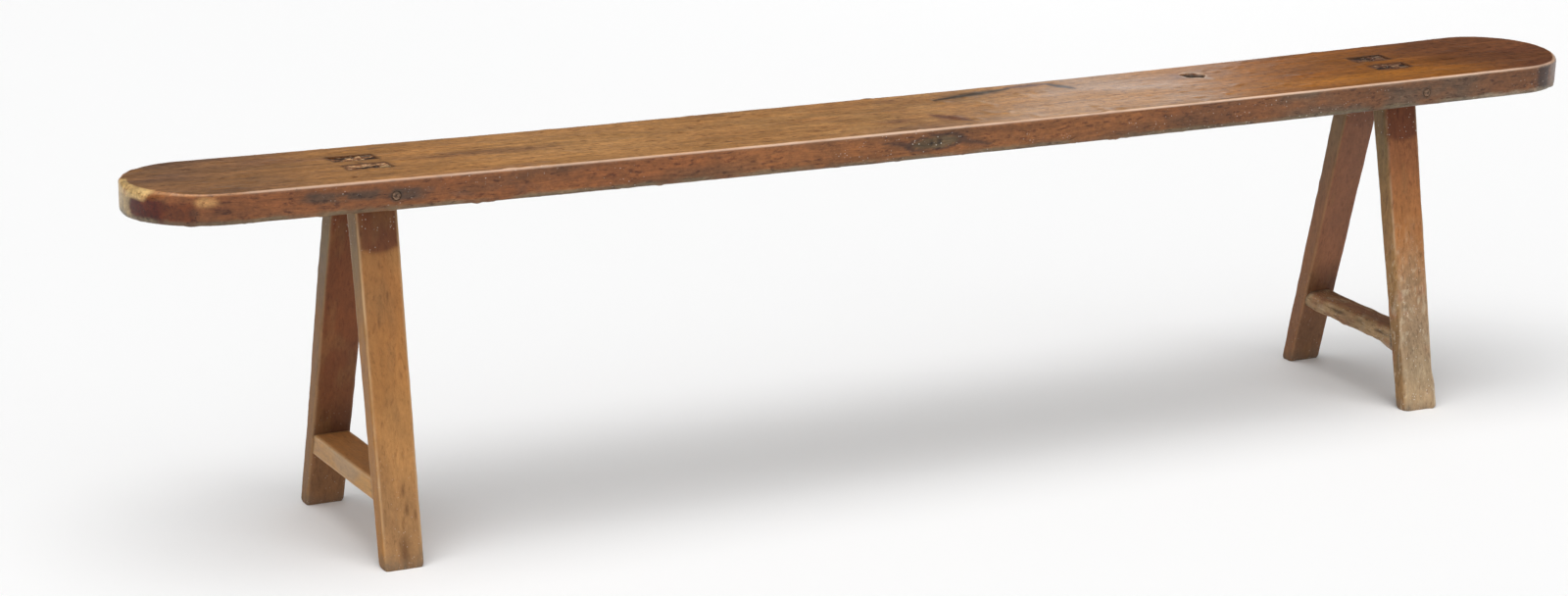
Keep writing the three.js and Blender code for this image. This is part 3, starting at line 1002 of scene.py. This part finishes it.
def stretcher_tenon_rings(trestle, hand, grow=0.0):
    """The stretcher's tenon in one leg, from its end to inside the stretcher's body."""
    level = stretcher_level(trestle)
    x, y, _, depth = leg_at(trestle, hand, level)
    size = STRETCHER_TENON
    tip = y - hand * (depth / 2 - size["length"] - grow)
    root = y - hand * (depth / 2 + 6)
    rings = []
    for at in (root, tip):
        ring = rounded_section(size["width"] + 2 * grow, size["height"] + 2 * grow, 1, 4)
        ring = ring[::-hand]
        ring = np.column_stack([ring[:, 0] + x, np.full(len(ring), at), ring[:, 1] + level])
        rings.append(placed(ring, trestle))
    return rings


def make_leg(side, name, hand, seed):
    trestle = TRESTLES[side]
    radii = ROUND[f"{side}_{name}"]
    rings = [leg_ring(trestle, hand, s, radii, seed) for s in np.linspace(0, 1, LEG_STATIONS)]
    for z in np.linspace(UNDERSIDE - 2 * GAP, -TENON_RECESS, TENON_STATIONS):
        rings.append(tenon_ring(trestle, hand, z))
    leg = loft(f"{side}_{name}_leg_wood", [placed(r, trestle) for r in rings])

    local = to_trestle(points_of(leg), trestle)
    normal = normals_of(leg)
    drift = local - np.column_stack([*leg_at(trestle, hand, local[:, 2])[:2], 0 * local[:, 2]])
    depth = 0.5 * noise(local, (20, 20, 5), seed) + 0.25 * noise(local, (70, 70, 18), seed + 1)
    depth += 0.1 * noise(local, (420, 420, 30), seed + 2, 2)
    above = step(UNDERSIDE - 4, UNDERSIDE + 1, local[:, 2])
    corner = step(0.55, 0.95, np.abs(normal[:, 0])) * step(0.2, 0.4, np.abs(normal[:, 1]))
    depth += 0.9 * corner * np.maximum(noise(local, (40, 40, 26), seed + 3) - 0.2, 0)
    if side == "right" and hand < 0:
        # A bump is left on its right-hand arris low down, and the face beside it is scraped.
        flare = step(FLOOR_LEVEL + 62, FLOOR_LEVEL + 36, local[:, 2])
        depth -= 3.2 * flare * step(10, 22, drift[:, 0])
        depth += 0.8 * blob(drift[:, 0], local[:, 2], (-8, FLOOR_LEVEL + 40), (14, 60))
    if side == "left" and hand < 0:
        slit = stroke(drift[:, 0], local[:, 2], (3, FLOOR_LEVEL + 47), (5, FLOOR_LEVEL + 60), 3.5)
        depth += 2.5 * slit * (normal[:, 1] < 0)
    push = normal * (depth * (1 - 0.85 * above))[:, None]
    push[:, 2] = 0
    place = points_of(leg)
    ground = place[:, 2] < ON_FLOOR
    place = place - push
    place[ground, 2] = 0
    top = (normal[:, 2] > 0.7) & (local[:, 2] > -3)
    ragged = np.abs(noise(local, (170, 170, 170), seed + 5, 3))
    place[top, 2] -= (2.4 * ragged + 0.5 * step(0.2, 0.7, noise(local, (60, 120, 60), seed + 6)))[top]
    set_points(leg, place)

    slot, mortise = wedge_rings(trestle, hand, GAP), stretcher_tenon_rings(trestle, hand, GAP)
    cut(leg, [tool(slot), peg_hole(trestle, hand), tool(mortise)])
    return leg


# Colours of a leg as they are seen: its body, its foot, its inner face and its left face.
# The inner face's colour is partly the wood's own red-brown and partly painted shade.
LEG_PAINT = {
    "left_near": ((163, 111, 58), (147, 118, 84), (140, 84, 46), (164, 112, 52)),
    "left_far": ((142, 98, 58), (128, 102, 74), (122, 68, 36), (130, 92, 52)),
    "right_near": ((162, 108, 60), (156, 130, 101), (130, 82, 50), (146, 110, 68)),
    "right_far": ((134, 94, 60), (94, 76, 58), (142, 92, 64), (138, 92, 60)),
}

# Dark smudges on a leg's outer face: across it, above the floor and half-width, in millimetres.
LEG_SMUDGES = {
    "left_near": (
        (-7, 285, 3), (6, 315, 2.5), (5, 92, 4), (8, 70, 4), (18, 62, 3), (2, 22, 9), (-14, 170, 2),
    ),
    "right_near": ((8, 250, 2.5), (-4, 330, 2), (12, 190, 2.5)),
    "left_far": ((5, 120, 4), (-9, 260, 3)),
    "right_far": ((-6, 180, 4), (8, 300, 3)),
}


def leg_colour(leg, side, name, hand, seed):
    trestle = TRESTLES[side]
    p = to_trestle(points_of(leg), trestle)
    normal = normals_of(leg)
    x, y, z = p.T
    mid_x, mid_y, width, depth = leg_at(trestle, hand, z)
    dx, dy = x - mid_x, y - mid_y
    body, foot, inner, flank = LEG_PAINT[f"{side}_{name}"]
    greyed = side == "right" and hand < 0
    outer = step(0.4, 0.8, hand * normal[:, 1])
    inside = step(0.4, 0.8, -hand * normal[:, 1])
    left = step(0.4, 0.8, -normal[:, 0])
    cloud = noise(p, (20, 20, 6), seed + 7)
    fine = noise(p, (70, 70, 20), seed + 8)
    # sag and high shape a painted shadow of the plank: a dark band across the top of the leg, with a wavy
    # lower edge.
    sag = 3.5 * np.cos(dx / 10) + 3 * cloud
    high = step(UNDERSIDE - 58, UNDERSIDE - 50, z + sag)
    ruddy = step(UNDERSIDE - 230, UNDERSIDE - 60, z + 30 * cloud)
    rise = z - stretcher_level(trestle)
    olive = step(UNDERSIDE - 190, UNDERSIDE - 20, z + 40 * cloud)
    low = step(FLOOR_LEVEL + 230, FLOOR_LEVEL + (110 if greyed else 30), z + 60 * cloud)
    colour = painted(
        body,
        (foot, (1.0 if greyed else 0.5) * low),
        # The inner face gets its own colour, partly painted shade, with less of it low down.
        (inner, 0.95 * inside * (1 - 0.7 * low)),
        (flank, 0.9 * left),
        ((112, 98, 66), 0.7 * left * olive),
        ((138, 82, 50), (0.75 if side == "right" else 0.25) * ruddy * outer),
        # Painted shadow of the plank over the top of the leg, weaker on the left and inner faces.
        ((98, 50, 28), 0.82 * high * (1 - 0.75 * left) * (1 - 0.7 * inside)),
        # Lighter clouds on the outer faces below the shadow band: a painted highlight.
        ((180, 132, 78), 0.4 * outer * step(0.1, 0.5, cloud) * (1 - high)),
        # Painted shade on the inner faces just above the stretcher, reaching higher on the left trestle.
        ((62, 34, 22), 0.6 * inside * step(6, 12, rise) * step(70, 20, rise)),
        ((62, 34, 22), 0.2 * inside * (side == "left") * step(6, 12, rise) * step(160, 80, rise)),
        ((140, 100, 60), 0.3 * step(0.1, 0.5, fine)),
    )
    if greyed:
        colour = painted(
            colour,
            ((160, 104, 76), 0.6 * step(0.05, 0.5, noise(p, (60, 60, 34), seed + 11))),
            ((190, 172, 144), 0.5 * step(0.15, 0.5, noise(p, (110, 110, 50), seed + 12))),
            ((112, 92, 66), 0.55 * step(0.2, 0.5, noise(p, (80, 80, 60), seed + 13))),
            ((206, 188, 158), 0.6 * step(0.25, 0.5, noise(p, (240, 240, 120), seed + 14))),
            where=step(FLOOR_LEVEL + 290, FLOOR_LEVEL + 120, z),
        )
        pale_foot = step(FLOOR_LEVEL + 120, FLOOR_LEVEL + 50, z)
        colour = painted(colour, ((178, 154, 120), 0.6 * pale_foot * outer))
    for across, up, reach in LEG_SMUDGES.get(f"{side}_{name}", ()):
        spot = blob(dx + 2 * fine, z, (across, FLOOR_LEVEL + up), (reach, 3.4 * reach))
        colour = painted(colour, ((104, 66, 34), 0.8 * spot * outer))
    specks = 0.6 * high + (0.9 * low if greyed else 0.3 * low)
    # The near legs' arrises are paler: partly worn, partly a painted highlight.
    arris = 1.2 if hand < 0 else 0.3
    wear_and_highlight = arris * edge_mask(dx, dy, width, depth, 3.4) * (0.6 + 0.4 * fine) * (z < UNDERSIDE - 3)
    grime_and_shade = 0.7 * step(FLOOR_LEVEL + 26, FLOOR_LEVEL + 2, z + 14 * fine)
    end = step(0.5, 0.9, np.abs(normal[:, 2])) * ((z > -5) | (z < FLOOR_LEVEL + 8))
    tip = step(-10, -6, z)
    fibre = noise(p, (130, 320, 260), seed + 9, 2)
    hollow = noise(p, (90, 150, 90), seed + 10, 3)
    tip_tint = (134, 90, 58) if side == "left" else (92, 60, 44)
    colour = painted(
        colour,
        (tip_tint, 0.95 * tip),
        ((206, 166, 122), (0.9 if side == "left" else 0.35) * tip * step(0.05, 0.35, fibre)),
        ((38, 23, 15), 0.95 * tip * step(0.0, 0.25, hollow)),
    )
    return p, colour, wear_and_highlight, grime_and_shade, end, specks


def edge_mask(dx, dy, width, depth, reach):
    """1 along the arrises of a bar, 0 on its faces."""
    from_x = width / 2 - np.abs(dx)
    from_y = depth / 2 - np.abs(dy)
    return step(reach, 0.3 * reach, np.hypot(np.maximum(from_x, 0), np.maximum(from_y, 0)))


# ---- Stretchers, wedges and pegs ----------------------------------------------------------------


def split_line(p, level, seed):
    """1 on the broken line of a split along the worn stretcher's left face."""
    off = np.abs(p[:, 2] - level - 2 - 2.5 * noise(p, (1, 26, 1), seed + 7))
    return step(2.2, 0.4, off) * step(-0.1, 0.25, noise(p, (1, 34, 1), seed + 12))


def make_stretcher(side, seed):
    trestle = TRESTLES[side]
    shape = trestle["stretcher"]
    level = stretcher_level(trestle)
    worn = side == "right"
    rings = []
    for share in np.linspace(0, 1, STRETCHER_STATIONS):
        swell = 1 + 0.25 * lone(share, seed, 6)
        radii = [shape[edge] * swell for edge in ("lower", "upper", "upper", "lower")]
        ring = cornered_section(shape["width"], shape["height"], radii)
        x, z = ring[:, 0], ring[:, 1]
        if worn:
            flare = math.exp(-((share / 0.13) ** 2))
            under = step(2, -6, z)
            z = z - under * (6.5 * flare + 1.6 * lone(share, seed + 1, 7) + 1.0 * lone(share, seed + 2, 19))
            z = z - (1 - under) * (1.5 * math.sin(math.pi * share) + 0.8 * lone(share, seed + 3, 6))
        z = z + level
        faces = []
        for hand in HANDS.values():
            _, y, _, depth = leg_at(trestle, hand, z)
            faces.append(y - hand * (depth / 2 + GAP))
        y = faces[0] + (faces[1] - faces[0]) * share
        x = x + leg_at(trestle, 1, z)[0]
        rings.append(placed(np.column_stack([x, y, z]), trestle))
    rings = [r[::-1] for r in rings]
    body = loft(f"{side}_stretcher_wood", rings, cap_rows=5)
    local = to_trestle(points_of(body), trestle)
    normal = normals_of(body)
    depth = 0.35 * noise(local, (26, 8, 26), seed + 4) + 0.1 * noise(local, (300, 24, 300), seed + 5, 2)
    if worn:
        depth += 0.5 * noise(local, (60, 22, 60), seed + 6)
        left_face = (local[:, 0] < 0) * step(0.3, 0.8, -normal[:, 0])
        depth += 1.9 * split_line(local, level, seed) * left_face
    push = normal * depth[:, None]
    push *= step(0.85, 0.5, np.abs(normal[:, 1]))[:, None]
    set_points(body, points_of(body) - push)
    combine(body, "UNION", [tool(stretcher_tenon_rings(trestle, hand)) for hand in HANDS.values()])
    return body


def stretcher_colour(body, side, seed):
    trestle = TRESTLES[side]
    p = to_trestle(points_of(body), trestle)
    normal = normals_of(body)
    level = stretcher_level(trestle)
    shape = trestle["stretcher"]
    x, y, z = p.T
    up = step(0.4, 0.85, normal[:, 2])
    left = step(0.4, 0.85, -normal[:, 0])
    cloud = noise(p, (30, 9, 30), seed + 8)
    fine = noise(p, (90, 24, 90), seed + 9)
    if side == "left":
        base, top, flank = (184, 130, 66), (188, 130, 78), (186, 134, 62)
    else:
        base, top, flank = (174, 138, 98), (162, 116, 78), (184, 150, 108)
    colour = painted(
        base,
        (top, 0.95 * up),
        (flank, 0.9 * left),
        ((170, 140, 102), 0.5 * step(0.1, 0.5, cloud) * (1 - up)),
        ((112, 82, 50), 0.35 * step(0.15, 0.6, fine)),
    )
    if side == "right":
        colour = painted(
            colour,
            ((150, 96, 68), 0.7 * step(0.0, 0.5, noise(p, (60, 34, 60), seed + 10))),
            ((196, 172, 140), 0.5 * step(0.15, 0.5, noise(p, (110, 60, 110), seed + 11))),
            ((60, 42, 32), 0.85 * split_line(p, level, seed) * left),
        )
    dx = x - leg_at(trestle, 1, z)[0]
    wear_and_highlight = 0.8 * edge_mask(dx, z - level, shape["width"], shape["height"], 4) * (0.65 + 0.35 * fine)
    # Dirt gathers against the legs.
    near_face = leg_at(trestle, -1, z)[1] + leg_at(trestle, -1, z)[3] / 2
    far_face = leg_at(trestle, 1, z)[1] - leg_at(trestle, 1, z)[3] / 2
    against = np.minimum(y - near_face, far_face - y)
    grime_and_shade = 0.7 * step(7, 0.5, against + 2 * fine) + (0.25 if side == "right" else 0.0)
    end = step(0.6, 0.9, np.abs(normal[:, 1]))
    return p, colour, wear_and_highlight, grime_and_shade, end


SMALL_PIECE_WEAR = 0.3


def small_piece(label, slot, rings, wood_name, tint, trestle, seed, along):
    """A wedge or a peg, with its grain along the axis numbered along."""
    piece = loft(f"{label}_{slot}_wood", rings, cap_rows=4)
    local = to_trestle(points_of(piece), trestle)
    carve(piece, SMALL_PIECE_WEAR * (0.5 + 0.5 * noise(local, (200, 200, 200), seed, 3)))
    local = to_trestle(points_of(piece), trestle)
    normal = normals_of(piece)
    fine = noise(local, (160, 160, 160), seed + 1)
    others = [k for k in range(3) if k != along]
    grain = np.column_stack([local[:, along], local[:, others[0]], local[:, others[1]]])
    dark = tuple(c * 0.62 for c in tint)
    colour = painted(tint, (dark, 0.8 * step(0.0, 0.6, fine)))
    end = step(0.6, 0.9, np.abs(normal[:, along]))
    grime_and_shade = 0.35 * step(0.1, 0.5, fine)
    finish_piece(piece, wood_name, f"{label}_{slot}", grain, colour, 0 * fine, grime_and_shade, end, 0 * fine)


# Colours as they are seen.
WEDGE_TINT = {
    "left_near": (176, 146, 104),
    "left_far": (120, 96, 78),
    "right_near": (124, 98, 76),
    "right_far": (116, 92, 76),
}
PEG_TINT = (112, 88, 70)

for side_seed, (side, trestle) in enumerate(TRESTLES.items()):
    seed = 300 + 40 * side_seed
    stretcher = make_stretcher(side, seed)
    p, colour, wear_and_highlight, grime_and_shade, end = stretcher_colour(stretcher, side, seed)
    finish_piece(
        stretcher,
        "plain_board" if side == "left" else "greyed_board",
        f"{side}_stretcher",
        p[:, [1, 0, 2]] + (0, 300 * side_seed, 0),
        colour, wear_and_highlight, grime_and_shade, end, 0.7 * side_seed + 0 * wear_and_highlight,
    )
    for hand_seed, (name, hand) in enumerate(HANDS.items()):
        seed = 100 + 60 * side_seed + 25 * hand_seed
        label = f"{side}_{name}"
        leg = make_leg(side, name, hand, seed)
        p, colour, wear_and_highlight, grime_and_shade, end, specks = leg_colour(leg, side, name, hand, seed)
        finish_piece(
            leg,
            "greyed_leg" if label == "right_near" else "worn_leg",
            f"{label}_leg",
            p[:, [2, 0, 1]] + (0, 370 * side_seed + 190 * hand_seed, 0),
            colour, wear_and_highlight, grime_and_shade, end, specks,
        )
        wedge = wedge_rings(trestle, hand)
        peg = peg_points(trestle, hand, PEG["radius"], whittled=0.02, seed=seed)
        small_piece(label, "wedge", wedge, "split_wedge", WEDGE_TINT[label], trestle, seed + 12, 2)
        small_piece(label, "peg", peg, "whittled_peg", PEG_TINT, trestle, seed + 16, 1)


# ---- Floor, light and camera ------------------------------------------------------------------

FLOOR_REACH = 30 / MM


def make_floor():
    corners = np.array([(-1, -1, 0), (1, -1, 0), (1, 1, 0), (-1, 1, 0)]) * FLOOR_REACH
    floor = new_piece("floor", corners, [(0, 1, 2, 3)])
    material = bpy.data.materials.new("floor")
    material.use_nodes = True
    surface = material.node_tree.nodes["Principled BSDF"]
    surface.inputs["Base Color"].default_value = (0.9, 0.9, 0.9, 1)
    surface.inputs["Roughness"].default_value = 0.9
    floor.data.materials.append(material)


def make_light(name, place, target, size, power):
    data = bpy.data.lights.new(name, "AREA")
    data.shape, data.size, data.size_y, data.energy = "RECTANGLE", *size, power
    light = bpy.data.objects.new(name, data)
    light.location = place
    light.rotation_euler = (Vector(target) - Vector(place)).to_track_quat("-Z", "Y").to_euler()
    bpy.context.scene.collection.objects.link(light)


def make_sun(name, towards, softness_degrees, strength):
    data = bpy.data.lights.new(name, "SUN")
    data.energy, data.angle = strength, math.radians(softness_degrees)
    sun = bpy.data.objects.new(name, data)
    sun.rotation_euler = Vector(towards).to_track_quat("Z", "Y").to_euler()
    bpy.context.scene.collection.objects.link(sun)


def make_world():
    """Pale near the horizon and overhead, dimmer between."""
    world = bpy.data.worlds.new("studio")
    world.use_nodes = True
    tree = world.node_tree
    place = tree.nodes.new("ShaderNodeTexCoord")
    split = tree.nodes.new("ShaderNodeSeparateXYZ")
    tree.links.new(place.outputs["Generated"], split.inputs[0])
    total = tree.nodes.new("ShaderNodeMath")
    for k, levels in enumerate(((0.06, 0.13, 0.45, 0.013), (0.35, 0.75, 0.0, 0.17))):
        ramp = tree.nodes.new("ShaderNodeMapRange")
        tree.links.new(split.outputs["Z"], ramp.inputs["Value"])
        for socket, value in zip(ramp.inputs[1:5], levels):
            socket.default_value = value
        tree.links.new(ramp.outputs[0], total.inputs[k])
    tree.links.new(total.outputs[0], tree.nodes["Background"].inputs["Strength"])
    tree.nodes["Background"].inputs["Color"].default_value = (1, 1, 1, 1)
    bpy.context.scene.world = world


# Fitted to the photo. Its Y is counted from the plank's middle; it is turned by yaw, pitch, roll.
CAMERA = {
    "place_m": (-2.1415, -3.8285, 1.3941),
    "turn_degrees": (27.3, -15.13, 0.7),
    "sensor_mm": 36.0,
    "lens_mm": 81.23,
}


def make_camera():
    """The camera stands at the left of the bench's near side, a little above it."""
    yaw, pitch, roll = (math.radians(a) for a in CAMERA["turn_degrees"])
    ahead = Vector((math.sin(yaw) * math.cos(pitch), math.cos(yaw) * math.cos(pitch), math.sin(pitch)))
    right = Vector((math.cos(yaw), -math.sin(yaw), 0))
    up = right.cross(ahead)
    right, up = (
        math.cos(roll) * right + math.sin(roll) * up,
        -math.sin(roll) * right + math.cos(roll) * up,
    )
    data = bpy.data.cameras.new("camera")
    data.sensor_width, data.lens = CAMERA["sensor_mm"], CAMERA["lens_mm"]
    camera = bpy.data.objects.new("camera", data)
    turn = Matrix((right, up, -ahead)).transposed().to_4x4()
    x, y, z = CAMERA["place_m"]
    camera.matrix_world = Matrix.Translation((x, PLANK_Y * MM + y, z)) @ turn
    bpy.context.scene.collection.objects.link(camera)
    bpy.context.scene.camera = camera


make_floor()
make_sun("key", (-0.15, -0.12, 0.97), 56, 2.0)
make_sun("fill", (-0.42, -0.8, 0.42), 120, 2.1)
make_light("strip", (2.75, 3.75, 1.42), (0.35, 0, 0.45), (0.55, 0.5), 2.8)
make_world()
bpy.context.scene.view_settings.view_transform = "Standard"
make_camera()
